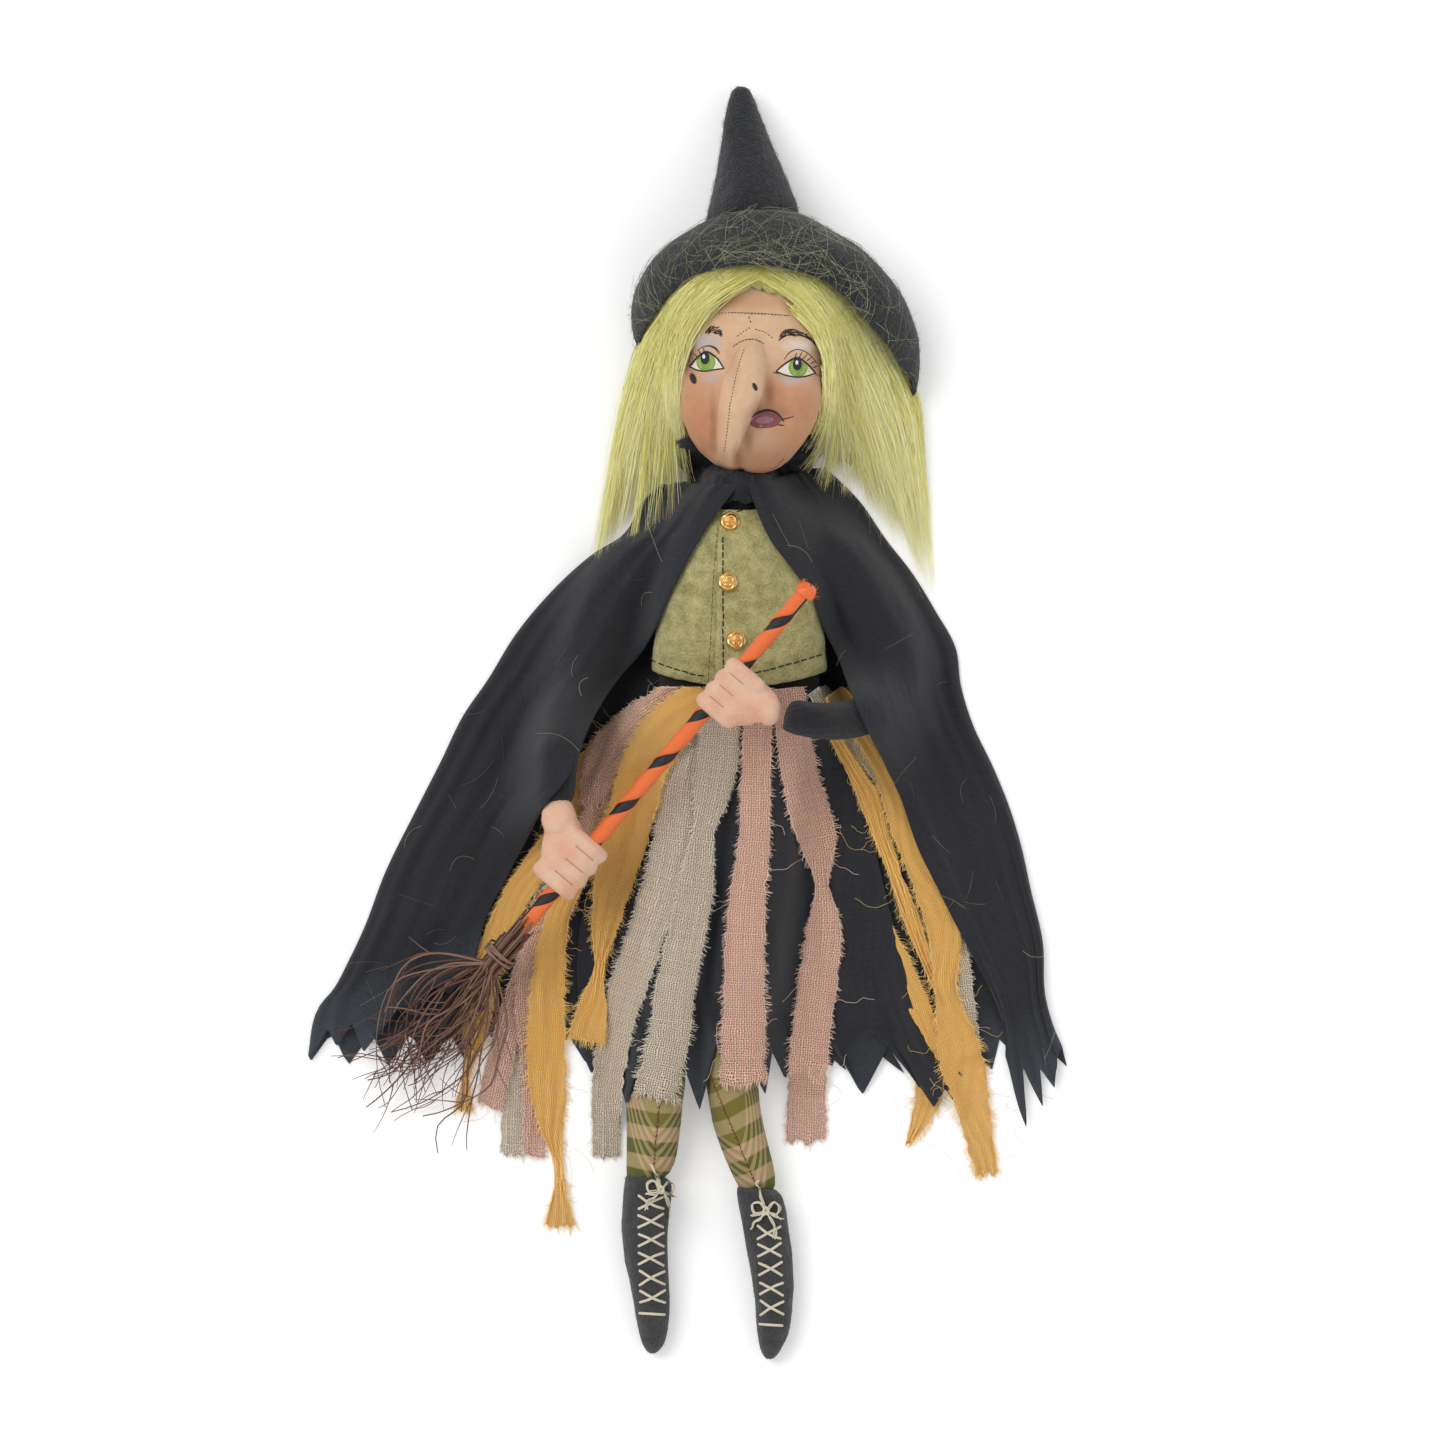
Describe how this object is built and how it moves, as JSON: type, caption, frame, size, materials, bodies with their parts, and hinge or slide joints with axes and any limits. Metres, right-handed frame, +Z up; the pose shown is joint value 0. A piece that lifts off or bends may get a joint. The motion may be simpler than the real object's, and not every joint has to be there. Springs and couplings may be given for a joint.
{
  "type": "witch art doll",
  "caption": "Cloth witch doll on its back: felt hat, fur wig, hooked-nose head, cape, felt vest, skirt with rag strips, plaid legs, laced boots, and a ribboned twig broom in both hands.",
  "frame": {"origin": "on the surface the doll lies on, under the middle of its chest, at the outer face of the cape's back", "axes": "+Z up out of the doll's front, +Y towards the hat's tip, +X towards the doll's left arm, which is on the right when it is seen from above"},
  "size_m": [0.3597, 0.6124, 0.09],
  "materials": {
    "black_cotton": "matt thin woven cotton",
    "black_felt": "matt wool felt",
    "black_knit": "matt fine knit",
    "lime_fur": "long soft fur, slight sheen",
    "muslin": "matt painted cotton muslin",
    "hand_cloth": "matt cotton cloth",
    "olive_felt": "matt wool felt",
    "gold": "gold-coloured, satin gloss",
    "pink_linen": "coarse open weave, frayed",
    "taupe_linen": "coarse open weave, frayed",
    "yellow_gauze": "loose gauze, frayed",
    "plaid": "matt woven plaid",
    "stuffed_body": "matt cotton over filling",
    "cream_lace": "matt twisted cord",
    "black_wood": "black paint, matt",
    "orange_satin": "satin ribbon, soft sheen",
    "twig": "bare twig, matt"
  },
  "bodies": {
    "root": {"boot_left": "black_felt", "boot_right": "black_felt", "bootlace_left": "cream_lace", "bootlace_right": "cream_lace", "broom_binding": "twig", "broom_ribbon": "orange_satin", "broom_stick": "black_wood", "button_bottom": "gold", "button_middle": "gold", "button_top": "gold", "cape": "black_cotton", "cape_tie": "black_cotton", "hair": "lime_fur", "hand_left": "hand_cloth", "hand_right": "hand_cloth", "hat_brim": "black_felt", "hat_cone": "black_felt", "head": "muslin", "leg_left": "plaid", "leg_right": "plaid", "skirt": "black_cotton", "sleeve_left": "black_knit", "sleeve_right": "black_knit", "strip_pink_fold": "pink_linen", "strip_pink_left": "pink_linen", "strip_pink_left_inner": "pink_linen", "strip_pink_middle": "pink_linen", "strip_pink_right": "pink_linen", "strip_taupe_left": "taupe_linen", "strip_taupe_middle": "taupe_linen", "strip_taupe_middle_under": "taupe_linen", "strip_taupe_right": "taupe_linen", "strip_yellow_front": "yellow_gauze", "strip_yellow_left": "yellow_gauze", "strip_yellow_left_long": "yellow_gauze", "strip_yellow_right": "yellow_gauze", "strip_yellow_right_hem": "yellow_gauze", "strip_yellow_right_thin": "yellow_gauze", "torso": "stuffed_body", "twig_01": "twig", "twig_02": "twig", "twig_03": "twig", "twig_04": "twig", "twig_05": "twig", "twig_06": "twig", "twig_07": "twig", "twig_08": "twig", "twig_09": "twig", "twig_10": "twig", "vest": "olive_felt"}
  },
  "joints": []
}
